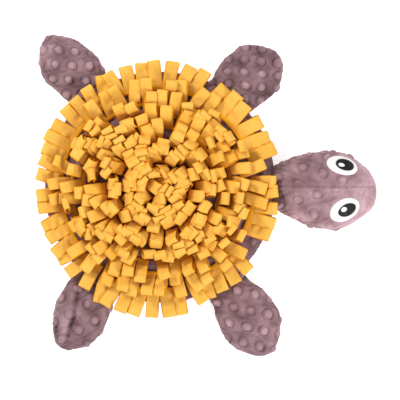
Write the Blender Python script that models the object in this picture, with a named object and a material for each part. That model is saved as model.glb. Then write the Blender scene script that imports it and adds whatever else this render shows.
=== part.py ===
"""Turtle-shaped foraging toy for a dog: a padded plush shell that carries rings of slit felt loops.

Metres, +Z up. The origin lies on the resting plane under the centre of the shell, and +X points to
the head. The toy lies on its belly. Left is the turtle's own left, towards +Y.
"""
import math
import random
from collections import namedtuple

import bmesh
import bpy
from mathutils import Vector

UP = Vector((0, 0, 1))

# ---------------------------------------------------------------- driving dimensions
SEW_GAP = 0.00035            # clearance between two pieces that are sewn together

SHELL_SEGMENTS = 24
SHELL_HEIGHT = 0.030         # at the centre
SHELL_FALL = 0.008           # how much lower the top lies at FALL_RADIUS
FALL_RADIUS = 0.120
CHANNEL_ROWS = 4             # the outer rows are sewn right through and pull the top down
CHANNEL_DEPTH = 0.0012
FLAT_RINGS = (0.045,)        # rings of the flat middle, where the rows are sewn to the top panel only

# The shell's side below the outermost channel, from its shoulder down to the flat belly. The third
# point from the end is the side seam, drawn in between the upper and the lower panel.
SidePoint = namedtuple("SidePoint", "radius height")
SHELL_SIDE = (
    SidePoint(0.1270, 0.0206),
    SidePoint(0.1345, 0.0178),
    SidePoint(0.1378, 0.0135),
    SidePoint(0.1352, 0.0100),
    SidePoint(0.1362, 0.0060),
    SidePoint(0.1265, 0.0000),
)

# ---------------------------------------------------------------- felt fringe
ROWS_CENTRE = Vector((-0.0035, -0.0015, 0))    # the rings of stitches are a little off the shell's axis
OUTER_ROW_RADIUS = 0.112
ROW_PITCH = 0.0134
FELT = 0.0018                # one layer of felt
FOOT_HEIGHT = 0.0045         # the doubled edge below the slits
LOOP_LENGTH = 0.0355         # foot and loop together
LOOP_WIDTH = 0.0138          # across the fold, between two slits
LOOP_POINT = 0.0035          # how far the fold's rounding reaches back from its tip
CHANNEL_LIFT = 0.0007        # foot above a channel's floor, so that its edges clear the slopes
LOOP_CLOSE = 0.0022          # doubled felt above the foot before the two layers part
SEED = 3
LEAN_SPREAD = math.radians(7.0)
TWIST_SPREAD = math.radians(7.0)
SIDE_SPREAD = 0.0008
LOOSE_RADIUS = 0.050         # rows smaller than this are tighter, so their loops stray less

# Rows from the outside in. lean is the loops' angle above the horizontal, fullness the loop's width
# from layer to layer; each row has equal lengths of felt, the first one's first loop at first_deg.
Row = namedtuple("Row", "lean_deg fullness first_deg lengths loops")
INNER_ROWS = (
    Row(34, 0.0090, 24, 5, 8),
    Row(50, 0.0104, 58, 5, 7),
    Row(62, 0.0114, 21, 4, 7),
    Row(70, 0.0116, 0, 4, 6),
    Row(76, 0.0116, 0, 4, 4),
    Row(80, 0.0110, 35, 2, 6),
    Row(84, 0.0096, 80, 1, 7),
)
END_GAP = 0.008              # between two lengths of felt in one row

# A last short length stands upright across the middle, slightly bowed.
CENTRE_LEAN_DEG = 86
CENTRE_FULLNESS = 0.0090
CENTRE_BOW = 0.120           # radius of its arc
CENTRE_LOOPS = 2
CENTRE_PITCH = 0.0144

# The outermost row has breaks at the neck and between its lengths. Some of these are sewn on a little
# outside the channel. A length's lean changes evenly from its first end to its last one.
OUTER_FULLNESS = 0.0066
OUTER_LOOSENESS = 0.6
OuterLength = namedtuple("OuterLength", "outside first_deg last_deg loops first_lean_deg last_lean_deg")
OUTER_LENGTHS = (
    OuterLength(0.0000, 18.5, 57.5, 6, 14, 8),
    OuterLength(0.0038, 69.5, 119.0, 8, 8, 8),
    OuterLength(0.0000, 126.5, 175.0, 8, 10, 34),
    OuterLength(0.0000, 183.0, 232.0, 8, 36, 8),
    OuterLength(0.0060, 240.5, 281.5, 7, 10, 8),
    OuterLength(0.0000, 290.5, 319.0, 5, 8, 12),
    OuterLength(0.0000, 336.0, 363.5, 5, 12, 34),
)

# ---------------------------------------------------------------- head and flippers
# Sections along a limb: distance from the shell's axis, reach to the left and to the right of the
# limb's line, lowest and highest point, and the place of the seam or fold that runs along its top.
Section = namedtuple("Section", "along left right low high crease")

HEAD_BEARING_DEG = 0
HEAD_SECTIONS = (
    Section(0.1260, 0.0210, 0.0210, 0.0040, 0.0160, 0.0006),
    Section(0.1330, 0.0250, 0.0250, 0.0020, 0.0240, 0.0006),
    Section(0.1560, 0.0360, 0.0380, 0.0000, 0.0460, 0.0006),
    Section(0.1750, 0.0412, 0.0470, 0.0000, 0.0545, 0.0006),
    Section(0.1950, 0.0433, 0.0505, 0.0000, 0.0580, 0.0006),
    Section(0.2080, 0.0422, 0.0525, 0.0000, 0.0572, 0.0006),
    Section(0.2200, 0.0398, 0.0470, 0.0000, 0.0545, 0.0006),
    Section(0.2320, 0.0325, 0.0405, 0.0015, 0.0490, 0.0006),
    Section(0.2480, 0.0185, 0.0280, 0.0085, 0.0340, 0.0006),
    Section(0.2530, 0.0105, 0.0215, 0.0120, 0.0270, 0.0000),
    Section(0.2555, 0.0040, 0.0150, 0.0150, 0.0225, -0.0020),
)
HEAD_TIP = Vector((0.2564, -0.0070, 0.0185))
HEAD_WIDEST = 0.45           # height of the widest line, as a share of the section's height
HEAD_SIDE_STEPS = (1.0, 0.9, 0.68, 0.35, 0.0)
HEAD_BELLY_STEPS = (0.88, 0.45)
HEAD_SEAM_DEPTH = 0.0012
HEAD_SEAM_HALF = 0.0025

FLIPPER_WIDEST = 0.38
FLIPPER_SIDE_STEPS = (1.0, 0.82, 0.36)
FLIPPER_BELLY_STEPS = (0.88, 0.45)
FLIPPER_CREASE_HALF = 0.0060
CREASE_WIDEST_SHARE = 0.2    # of a section's half width, where the section is too narrow for the above
CREASE_END_SHARE = 0.3       # of a fold's depth, in the sections near the root and the tip
CREASE_END_SECTIONS = 2      # how many there are at each end
BELLY_FLATNESS = 1.3         # above 1 the underside is cut off flat where it rests

Flipper = namedtuple("Flipper", "name bearing_deg crease_depth sections")
FLIPPERS = (
    Flipper("flipper_front_left", 52.0, 0.0, (
        Section(0.1280, 0.0290, 0.0270, 0.0030, 0.0140, 0.0),
        Section(0.1550, 0.0345, 0.0350, 0.0000, 0.0235, 0.0),
        Section(0.1680, 0.0347, 0.0382, 0.0000, 0.0260, 0.0),
        Section(0.1800, 0.0315, 0.0385, 0.0000, 0.0260, 0.0),
        Section(0.1900, 0.0300, 0.0345, 0.0000, 0.0240, 0.0),
        Section(0.1980, 0.0230, 0.0303, 0.0000, 0.0210, -0.0030),
        Section(0.2050, 0.0120, 0.0255, 0.0010, 0.0165, -0.0070),
        Section(0.2100, 0.0010, 0.0175, 0.0035, 0.0120, -0.0085),
    )),
    Flipper("flipper_front_right", 303.5, 0.0, (
        Section(0.1280, 0.0240, 0.0240, 0.0030, 0.0140, 0.0),
        Section(0.1540, 0.0285, 0.0265, 0.0000, 0.0225, 0.0),
        Section(0.1680, 0.0353, 0.0315, 0.0000, 0.0255, 0.0),
        Section(0.1850, 0.0370, 0.0352, 0.0000, 0.0270, 0.0),
        Section(0.2000, 0.0372, 0.0350, 0.0000, 0.0265, 0.0),
        Section(0.2120, 0.0323, 0.0308, 0.0000, 0.0235, 0.0),
        Section(0.2300, 0.0165, 0.0175, 0.0015, 0.0150, 0.0),
        Section(0.2355, 0.0075, 0.0090, 0.0035, 0.0110, 0.0),
    )),
    Flipper("flipper_rear_left", 126.5, 0.0, (
        Section(0.1280, 0.0230, 0.0240, 0.0030, 0.0140, 0.0),
        Section(0.1530, 0.0298, 0.0295, 0.0000, 0.0225, 0.0),
        Section(0.1680, 0.0318, 0.0324, 0.0000, 0.0250, 0.0),
        Section(0.1800, 0.0362, 0.0303, 0.0000, 0.0260, 0.0),
        Section(0.1940, 0.0335, 0.0260, 0.0000, 0.0240, 0.0),
        Section(0.2060, 0.0282, 0.0206, 0.0000, 0.0200, 0.0),
        Section(0.2150, 0.0205, 0.0120, 0.0010, 0.0160, 0.0),
        Section(0.2225, 0.0110, 0.0050, 0.0035, 0.0110, 0.0030),
    )),
    Flipper("flipper_rear_right", 237.5, 0.0050, (
        Section(0.1280, 0.0230, 0.0270, 0.0030, 0.0140, -0.0150),
        Section(0.1530, 0.0295, 0.0328, 0.0000, 0.0245, -0.0170),
        Section(0.1810, 0.0350, 0.0322, 0.0000, 0.0300, -0.0060),
        Section(0.1940, 0.0326, 0.0275, 0.0000, 0.0280, -0.0020),
        Section(0.2060, 0.0297, 0.0213, 0.0000, 0.0235, 0.0020),
        Section(0.2160, 0.0195, 0.0145, 0.0010, 0.0175, 0.0050),
        Section(0.2235, 0.0110, 0.0065, 0.0035, 0.0115, 0.0025),
    )),
)
TIP_REACH = 0.0020           # from a flipper's last section to its tip

# ---------------------------------------------------------------- eyes
EYE_SEGMENTS = 10
EYE_PRISM_LOW = 0.022
EYE_PRISM_HIGH = 0.075
WHITE_THICKNESS = 0.0013
PUPIL_THICKNESS = 0.0008
Oval = namedtuple("Oval", "x y long_half short_half turn_deg")
EYE_WHITES = {
    "left": Oval(0.2127, 0.0246, 0.0185, 0.0104, -15),
    "right": Oval(0.2154, -0.0266, 0.0185, 0.0125, 27),
}
PUPILS = {
    "left": Oval(0.2156, 0.0250, 0.0107, 0.0064, -15),
    "right": Oval(0.2178, -0.0263, 0.0112, 0.0069, 27),
}


# ---------------------------------------------------------------- scene helpers
def clear_scene():
    for old in list(bpy.data.objects):
        bpy.data.objects.remove(old, do_unlink=True)


def make_material(name, colour, roughness):
    material = bpy.data.materials.new(name)
    material.use_nodes = True
    shader = material.node_tree.nodes["Principled BSDF"]
    shader.inputs["Base Color"].default_value = (*colour, 1.0)
    shader.inputs["Roughness"].default_value = roughness
    shader.inputs["Metallic"].default_value = 0.0
    return material


def add_object(name, points, faces, material):
    """An object from points and faces, with its faces turned outwards."""
    mesh = bpy.data.meshes.new(name)
    mesh.from_pydata([tuple(point) for point in points], [], faces)
    shape = bmesh.new()
    shape.from_mesh(mesh)
    bmesh.ops.recalc_face_normals(shape, faces=shape.faces)
    shape.to_mesh(mesh)
    shape.free()
    if material:
        mesh.materials.append(material)
    piece = bpy.data.objects.new(name, mesh)
    bpy.context.collection.objects.link(piece)
    return piece


def as_cutter(piece):
    piece.hide_render = True
    piece.display_type = "WIRE"
    return piece


def grown_copy(piece, name, distance):
    """A cutter: the piece with every point moved out along its normal."""
    mesh = piece.data.copy()
    normals = [vertex.normal.copy() for vertex in piece.data.vertices]
    for vertex, normal in zip(mesh.vertices, normals):
        vertex.co += normal * distance
    cutter = bpy.data.objects.new(name, mesh)
    bpy.context.collection.objects.link(cutter)
    return as_cutter(cutter)


def cut(piece, operation, cutter):
    modifier = piece.modifiers.new(cutter.name, "BOOLEAN")
    modifier.operation = operation
    modifier.object = cutter


# ---------------------------------------------------------------- lofted solids
def loft(rings, first_cap, last_cap):
    """Points and faces through rings of equal length. A cap is a point, or None for a flat end."""
    size = len(rings[0])
    points = [point for ring in rings for point in ring]
    faces = []
    for start in range(0, (len(rings) - 1) * size, size):
        for i in range(size):
            j = (i + 1) % size
            faces.append((start + i, start + j, start + size + j, start + size + i))
    for cap, start in ((first_cap, 0), (last_cap, (len(rings) - 1) * size)):
        if cap is None:
            faces.append(tuple(range(start, start + size)))
            continue
        points.append(cap)
        tip = len(points) - 1
        faces.extend((start + i, start + (i + 1) % size, tip) for i in range(size))
    return points, faces


def limb_ring(section, bearing, widest, side_steps, belly_steps, crease_half, crease_depth):
    """One cross-section of a stuffed limb: crowned on top, drawn in at its sides, flat below."""
    centre = (section.left - section.right) / 2
    half = (section.left + section.right) / 2
    wide_height = section.low + widest * (section.high - section.low)

    def top(side):
        share = (side - centre) / half
        return wide_height + (section.high - wide_height) * math.sqrt(max(0.0, 1 - share * share))

    def belly(side):
        share = (side - centre) / half
        drop = BELLY_FLATNESS * (wide_height - section.low) * math.sqrt(max(0.0, 1 - share * share))
        return max(section.low, wide_height - drop)

    gap = min(crease_half, CREASE_WIDEST_SHARE * half)
    left_run = section.left - section.crease - gap
    right_run = section.right + section.crease - gap
    sides = [section.crease + gap + left_run * step for step in side_steps]
    profile = [(side, top(side)) for side in sides]
    profile.append((section.crease, top(section.crease) - crease_depth))
    sides = [section.crease - gap - right_run * step for step in reversed(side_steps)]
    profile.extend((side, top(side)) for side in sides)
    for step in belly_steps:
        profile.append((centre - half * step, belly(centre - half * step)))
    for step in reversed(belly_steps):
        profile.append((centre + half * step, belly(centre + half * step)))

    ahead = Vector((math.cos(bearing), math.sin(bearing), 0))
    leftward = Vector((-math.sin(bearing), math.cos(bearing), 0))
    return [ahead * section.along + leftward * side + Vector((0, 0, height))
            for side, height in profile]


# ---------------------------------------------------------------- shell
def row_radius(row):
    """Radius of the ring of stitches that holds a row of felt; row 1 is the outermost."""
    return OUTER_ROW_RADIUS - ROW_PITCH * (row - 1)


def shell_top(radius):
    return SHELL_HEIGHT - SHELL_FALL * (radius / FALL_RADIUS) ** 2


def shell_ring(radius, height, centre=Vector((0, 0, 0))):
    steps = (2 * math.pi * i / SHELL_SEGMENTS for i in range(SHELL_SEGMENTS))
    return [centre + Vector((radius * math.cos(a), radius * math.sin(a), height)) for a in steps]


def foot_floor(row):
    """Height at which a row's foot starts: just above its channel, or just above the flat middle."""
    top = shell_top(row_radius(row))
    if row <= CHANNEL_ROWS:
        return top - CHANNEL_DEPTH + CHANNEL_LIFT
    return top + SEW_GAP


def shoulder_height(radius):
    """Height of the shell's top between the outermost channel and its shoulder."""
    channel = shell_top(row_radius(1)) - CHANNEL_DEPTH
    shoulder = SHELL_SIDE[0]
    share = (radius - row_radius(1)) / (shoulder.radius - row_radius(1))
    return channel + (shoulder.height - channel) * share


def make_shell(material):
    rings = [shell_ring(radius, shell_top(radius), ROWS_CENTRE) for radius in reversed(FLAT_RINGS)]
    for row in range(CHANNEL_ROWS, 0, -1):
        before = row_radius(row) - ROW_PITCH / 2
        rings.append(shell_ring(before, shell_top(before), ROWS_CENTRE))
        radius = row_radius(row)
        rings.append(shell_ring(radius, shell_top(radius) - CHANNEL_DEPTH, ROWS_CENTRE))
    rings.extend(shell_ring(point.radius, point.height) for point in SHELL_SIDE)
    points, faces = loft(rings, ROWS_CENTRE + Vector((0, 0, SHELL_HEIGHT)), None)
    return add_object("shell", points, faces, material)


# ---------------------------------------------------------------- head and flippers
def make_head(material, shell_room):
    bearing = math.radians(HEAD_BEARING_DEG)
    rings = [limb_ring(section, bearing, HEAD_WIDEST, HEAD_SIDE_STEPS, HEAD_BELLY_STEPS,
                       HEAD_SEAM_HALF, HEAD_SEAM_DEPTH) for section in HEAD_SECTIONS]
    points, faces = loft(rings, None, HEAD_TIP)
    head = add_object("head", points, faces, material)
    white_room = grown_copy(head, "white_room", SEW_GAP)
    white_skin = grown_copy(head, "white_skin", SEW_GAP + WHITE_THICKNESS)
    pupil_room = grown_copy(head, "pupil_room", 2 * SEW_GAP + WHITE_THICKNESS)
    pupil_skin = grown_copy(head, "pupil_skin", 2 * SEW_GAP + WHITE_THICKNESS + PUPIL_THICKNESS)
    cut(head, "DIFFERENCE", shell_room)
    return (white_room, white_skin), (pupil_room, pupil_skin)


def make_flipper(flipper, material, shell_room):
    bearing = math.radians(flipper.bearing_deg)
    rings = [limb_ring(section, bearing, FLIPPER_WIDEST, FLIPPER_SIDE_STEPS, FLIPPER_BELLY_STEPS,
                       FLIPPER_CREASE_HALF, flipper.crease_depth * crease_share(index, flipper))
             for index, section in enumerate(flipper.sections)]
    last = flipper.sections[-1]
    centre = (last.left - last.right) / 2
    ahead = Vector((math.cos(bearing), math.sin(bearing), 0))
    leftward = Vector((-math.sin(bearing), math.cos(bearing), 0))
    tip = ahead * (last.along + TIP_REACH) + leftward * centre
    tip.z = (last.low + last.high) / 2
    points, faces = loft(rings, None, tip)
    piece = add_object(flipper.name, points, faces, material)
    cut(piece, "DIFFERENCE", shell_room)


def crease_share(index, flipper):
    """A fold starts past the root and dies out before the tip."""
    nearest_end = min(index, len(flipper.sections) - 1 - index)
    return 1.0 if nearest_end >= CREASE_END_SECTIONS else CREASE_END_SHARE


def make_oval(name, oval, thickness_cutters, material):
    """A thin oval patch that follows the head: a prism kept only between two grown heads."""
    room, skin = thickness_cutters
    turn = math.radians(oval.turn_deg)
    rings = []
    for height in (EYE_PRISM_LOW, EYE_PRISM_HIGH):
        ring = []
        for i in range(EYE_SEGMENTS):
            angle = 2 * math.pi * i / EYE_SEGMENTS
            along = oval.long_half * math.cos(angle)
            across = oval.short_half * math.sin(angle)
            ring.append(Vector((oval.x + along * math.cos(turn) - across * math.sin(turn),
                                oval.y + along * math.sin(turn) + across * math.cos(turn),
                                height)))
        rings.append(ring)
    points, faces = loft(rings, None, None)
    patch = add_object(name, points, faces, material)
    cut(patch, "INTERSECT", skin)
    cut(patch, "DIFFERENCE", room)


# ---------------------------------------------------------------- felt combs
def leaning_axes(bearing, lean):
    """Along a loop that leans outwards, and across its two layers."""
    out = Vector((math.cos(bearing), math.sin(bearing), 0))
    return out * math.cos(lean) + UP * math.sin(lean), UP * math.cos(lean) - out * math.sin(lean)


class Comb:
    """One length of folded felt: a doubled foot along an arc, slit above it into open loops."""

    def __init__(self, radius, floor, first_lean, last_lean, fullness, centre=ROWS_CENTRE):
        self.radius = radius
        self.floor = floor
        self.first_lean = first_lean
        self.last_lean = last_lean
        self.fullness = fullness
        self.centre = centre
        self.points = []
        self.faces = []

    def add(self, point):
        self.points.append(point)
        return len(self.points) - 1

    def lean_at(self, share):
        return self.first_lean + (self.last_lean - self.first_lean) * share

    def foot_at(self, bearing, share):
        """Where the two layers of the foot meet, on its lower edge."""
        out = Vector((math.cos(bearing), math.sin(bearing), 0))
        return self.centre + out * self.radius + UP * (self.floor + FELT * math.cos(self.lean_at(share)))

    def foot_corners(self, bearing, share):
        """Lower inner, upper inner, upper outer and lower outer corner, looking along the arc."""
        rise, thick = leaning_axes(bearing, self.lean_at(share))
        foot = self.foot_at(bearing, share)
        return [self.add(foot + rise * along + thick * across) for along, across
                in ((0, -FELT), (0, FELT), (FOOT_HEIGHT, FELT), (FOOT_HEIGHT, -FELT))]

    def loop_side(self, foot, bearing, lean, twist, shift, side):
        """The free points of a loop's cut edge: three round its outside, three round its inside."""
        around = Vector((-math.sin(bearing), math.cos(bearing), 0))
        rise, thick = leaning_axes(bearing, lean)
        wide = around * math.cos(twist) + thick * math.sin(twist)
        thick = thick * math.cos(twist) - around * math.sin(twist)
        half = self.fullness / 2
        bend = LOOP_LENGTH - LOOP_POINT
        split = FOOT_HEIGHT + LOOP_CLOSE
        profile = ((bend, -half), (LOOP_LENGTH, 0), (bend, half),
                   (split, 0), (bend, FELT - half), (bend, half - FELT))
        indices = []
        for along, across in profile:
            reach = side * LOOP_WIDTH / 2 + shift * along / LOOP_LENGTH
            indices.append(self.add(foot + rise * along + thick * across + wide * reach))
        return indices

    def add_loop(self, before, after, foot, bearing, lean, twist, shift):
        sides = []
        for side, corners in ((-1, before), (1, after)):
            free = self.loop_side(foot, bearing, lean, twist, shift, side)
            outer = [corners[3], free[0], free[1], free[2], corners[2]]
            inner = free[3:]
            sides.append((outer, inner))
            bottom, low, tip, high, top = outer
            close, under, over = inner
            self.faces.extend(((bottom, low, under), (bottom, under, close), (low, tip, under),
                               (tip, over, under), (tip, high, over), (high, top, over),
                               (top, close, over), (top, bottom, close)))
        (outer_a, inner_a), (outer_b, inner_b) = sides
        for i in range(len(outer_a) - 1):
            self.faces.append((outer_a[i], outer_a[i + 1], outer_b[i + 1], outer_b[i]))
        for i in range(len(inner_a)):
            j = (i + 1) % len(inner_a)
            self.faces.append((inner_a[i], inner_a[j], inner_b[j], inner_b[i]))

    def build(self, name, first, pitch, loops, dice, looseness, material):
        """The first loop stands straight; the others lean, twist and shift a little."""
        corners = [self.foot_corners(first + (i - 0.5) * pitch, i / loops) for i in range(loops + 1)]
        self.faces.append(tuple(corners[0]))
        self.faces.append(tuple(corners[-1]))
        for i in range(loops):
            before, after = corners[i], corners[i + 1]
            for j, k in ((0, 1), (1, 2), (3, 0)):
                self.faces.append((before[j], before[k], after[k], after[j]))
            share = (i + 0.5) / loops
            bearing = first + i * pitch
            loose = looseness if i > 0 else 0.0
            lean = self.lean_at(share) + loose * dice.uniform(-LEAN_SPREAD, LEAN_SPREAD)
            twist = loose * dice.uniform(-TWIST_SPREAD, TWIST_SPREAD)
            shift = loose * dice.uniform(-SIDE_SPREAD, SIDE_SPREAD)
            self.add_loop(before, after, self.foot_at(bearing, share), bearing, lean, twist, shift)
        add_object(name, self.points, self.faces, material)


def make_outer_row(dice, material):
    for number, length in enumerate(OUTER_LENGTHS, start=1):
        first = math.radians(length.first_deg)
        pitch = (math.radians(length.last_deg) - first) / (length.loops - 1)
        radius = row_radius(1) + length.outside
        comb = Comb(radius, shoulder_height(radius) + CHANNEL_LIFT, math.radians(length.first_lean_deg),
                    math.radians(length.last_lean_deg), OUTER_FULLNESS)
        comb.build(f"fringe_1_{number}", first, pitch, length.loops, dice, OUTER_LOOSENESS, material)


def make_inner_rows(dice, material):
    for number, row in enumerate(INNER_ROWS, start=2):
        radius = row_radius(number)
        lean = math.radians(row.lean_deg)
        share = 2 * math.pi / row.lengths
        pitch = (share - END_GAP / radius) / row.loops
        looseness = min(1.0, radius / LOOSE_RADIUS)
        for length in range(row.lengths):
            first = math.radians(row.first_deg) + length * share
            comb = Comb(radius, foot_floor(number), lean, lean, row.fullness)
            name = f"fringe_{number}_{length + 1}"
            comb.build(name, first, pitch, row.loops, dice, looseness, material)


def make_centre(dice, material):
    floor = SHELL_HEIGHT + SEW_GAP
    lean = math.radians(CENTRE_LEAN_DEG)
    middle = ROWS_CENTRE - Vector((CENTRE_BOW, 0, 0))
    comb = Comb(CENTRE_BOW, floor, lean, lean, CENTRE_FULLNESS, middle)
    pitch = CENTRE_PITCH / CENTRE_BOW
    first = -pitch * (CENTRE_LOOPS - 1) / 2
    comb.build("fringe_centre", first, pitch, CENTRE_LOOPS, dice, 0.0, material)


def main():
    clear_scene()
    plush = make_material("plush", (0.340, 0.205, 0.235), 0.9)
    felt = make_material("felt", (0.900, 0.490, 0.080), 0.95)
    white = make_material("white_felt", (0.850, 0.850, 0.830), 0.9)
    thread = make_material("black_thread", (0.012, 0.012, 0.014), 0.6)
    dice = random.Random(SEED)

    shell = make_shell(plush)
    shell_room = grown_copy(shell, "shell_room", SEW_GAP)
    white_cutters, pupil_cutters = make_head(plush, shell_room)
    for flipper in FLIPPERS:
        make_flipper(flipper, plush, shell_room)
    for side, oval in EYE_WHITES.items():
        make_oval(f"eye_white_{side}", oval, white_cutters, white)
    for side, oval in PUPILS.items():
        make_oval(f"pupil_{side}", oval, pupil_cutters, thread)
    make_outer_row(dice, felt)
    make_inner_rows(dice, felt)
    make_centre(dice, felt)


main()
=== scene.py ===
"""Looks of a turtle-shaped foraging toy for a dog: dotted plush, felt fringe, felt and stitched eyes.

Metres, +Z up, in the frame of the solids: the origin lies on the resting plane under the centre of the
shell, and +X points to the head. The felt is ruffled by a small particle solver that is part of this
script. Everything random is seeded.
"""
import math
from collections import namedtuple

import bpy
import numpy as np
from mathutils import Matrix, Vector, noise
from mathutils.bvhtree import BVHTree


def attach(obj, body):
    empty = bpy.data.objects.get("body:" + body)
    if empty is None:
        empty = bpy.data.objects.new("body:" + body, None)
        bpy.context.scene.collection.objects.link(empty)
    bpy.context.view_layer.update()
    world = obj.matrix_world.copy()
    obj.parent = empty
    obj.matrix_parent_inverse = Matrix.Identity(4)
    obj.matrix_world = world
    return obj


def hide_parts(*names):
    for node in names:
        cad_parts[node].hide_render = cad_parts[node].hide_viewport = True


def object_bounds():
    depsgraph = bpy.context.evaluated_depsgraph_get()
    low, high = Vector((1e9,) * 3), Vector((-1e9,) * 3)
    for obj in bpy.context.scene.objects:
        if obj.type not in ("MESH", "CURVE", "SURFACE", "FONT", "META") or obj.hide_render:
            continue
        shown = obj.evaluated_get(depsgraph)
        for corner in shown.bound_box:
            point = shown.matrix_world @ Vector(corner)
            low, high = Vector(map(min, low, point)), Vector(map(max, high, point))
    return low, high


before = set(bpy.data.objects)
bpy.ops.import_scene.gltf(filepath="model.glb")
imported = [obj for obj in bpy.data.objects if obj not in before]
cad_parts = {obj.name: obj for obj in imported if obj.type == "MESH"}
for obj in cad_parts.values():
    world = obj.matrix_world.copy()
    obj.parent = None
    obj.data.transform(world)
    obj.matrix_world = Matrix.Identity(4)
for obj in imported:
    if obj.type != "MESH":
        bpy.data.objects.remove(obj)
CAD_BOX = [list(corner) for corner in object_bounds()]
UP = np.array((0.0, 0.0, 1.0))
LOOK_FROM = 0.2  # height from which rays look down
TINY = 1e-9  # keeps a division from failing

# ------------ sizes shared with the solids
SHELL_HEIGHT = 0.030
SHELL_SIDES = 24
SHELL_FALL = 0.008  # how much lower the shell's top is at FALL_RADIUS
FALL_RADIUS = 0.120
SHOULDER_RADIUS = 0.1270  # where the shell's top turns down into its side
SHOULDER_HEIGHT = 0.0206
CHANNEL_ROWS = 4  # the outer rows are sewn into channels
CHANNEL_DEPTH = 0.0012
CHANNEL_LIFT = 0.0007  # a foot above its channel
SEW_GAP = 0.00035  # a foot above the plush where there is no channel
ROWS_CENTRE = np.array((-0.0035, -0.0015, 0.0))
OUTER_ROW_RADIUS = 0.112
ROW_PITCH = 0.0134

FELT = 0.0016  # one layer
FOOT_HEIGHT = 0.0045
LOOP_LENGTH = 0.0355  # foot and loop
LOOP_WIDTH = 0.0142
END_GAP = 0.008  # between two lengths of one row

Row = namedtuple("Row", "lean_deg fullness first_deg lengths loops")
INNER_ROWS = (
    Row(34, 0.0090, 24, 5, 8),
    Row(50, 0.0104, 58, 5, 7),
    Row(62, 0.0114, 21, 4, 7),
    Row(70, 0.0116, 0, 4, 6),
    Row(76, 0.0116, 0, 4, 4),
    Row(80, 0.0110, 35, 2, 6),
    Row(84, 0.0096, 80, 1, 7),
)
OUTER_FULLNESS = 0.0066
OuterLength = namedtuple("OuterLength", "outside first_deg last_deg loops leans_deg")
OUTER_LENGTHS = (
    OuterLength(0.0000, 18.5, 57.5, 6, (14, 8)),
    OuterLength(0.0038, 69.5, 119.0, 8, (8, 8)),
    OuterLength(0.0000, 126.5, 175.0, 8, (10, 34)),
    OuterLength(0.0000, 183.0, 232.0, 8, (36, 8)),
    OuterLength(0.0060, 240.5, 281.5, 7, (10, 8)),
    OuterLength(0.0000, 290.5, 319.0, 5, (8, 12)),
    OuterLength(0.0000, 336.0, 363.5, 5, (12, 34)),
)
CENTRE_LEAN_DEG = 86
CENTRE_FULLNESS = 0.0090
CENTRE_BOW = 0.120  # radius of the nearly straight length in the middle
CENTRE_LOOPS = 2
CENTRE_PITCH = 0.0144

# Short lengths between the rows of the solids. row is the row just outside them.
Between = namedtuple("Between", "row lean_deg first_deg lengths loops")
BETWEEN_ROWS = (
    Between(3, 66, 38, 4, 3),
    Between(4, 74, 12, 4, 5),
    Between(5, 80, 50, 3, 6),
    Between(6, 84, 325, 3, 5),
    Between(7, 86, 80, 2, 4),
    Between(8, 88, 140, 1, 3),
)
BETWEEN_PITCH = 0.0146
BETWEEN_FULLNESS = 0.0105


def smooth(share):
    """0 up to 0, 1 from 1 on, and a soft step between."""
    share = np.clip(share, 0, 1)
    return share * share * (3 - 2 * share)


def fade(values, start, width):
    """0 up to start, 1 from start + width on, and a soft step between."""
    return smooth((values - start) / width)


def fade_before(values, end, width):
    """The same the other way round: 0 from end on."""
    return smooth((end - values) / width)


def bell(offset, height, width):
    return height * np.exp(-(offset / width) ** 2)


def turned(a, b, angle):
    return a * np.cos(angle) - b * np.sin(angle), a * np.sin(angle) + b * np.cos(angle)


def row_radius(row):
    return OUTER_ROW_RADIUS - ROW_PITCH * (row - 1)


def shell_top(radius):
    return SHELL_HEIGHT - SHELL_FALL * (radius / FALL_RADIUS) ** 2


def foot_floor(row):
    top = shell_top(row_radius(row))
    return top - CHANNEL_DEPTH + CHANNEL_LIFT if row <= CHANNEL_ROWS else top + SEW_GAP


def shoulder_height(radius):
    """Height of the shell's top between the outermost channel and its shoulder."""
    channel = shell_top(row_radius(1)) - CHANNEL_DEPTH
    share = (radius - row_radius(1)) / (SHOULDER_RADIUS - row_radius(1))
    return channel + (SHOULDER_HEIGHT - channel) * share


# ------------ lengths of felt
Length = namedtuple("Length", "node row centre radius floor leans fullness bearings pitch")


def lean_at(length, bearing):
    """The lean changes evenly from a length's first end to its last one."""
    reach = length.pitch * len(length.bearings)
    share = (bearing - length.bearings[0] + length.pitch / 2) / reach
    return length.leans[0] + (length.leans[1] - length.leans[0]) * share


def foot_at(length, bearing):
    """Where the two layers of the foot meet, on its lower edge."""
    out = np.array((math.cos(bearing), math.sin(bearing), 0.0))
    height = length.floor + FELT * math.cos(lean_at(length, bearing))
    return length.centre + out * length.radius + UP * height


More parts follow.
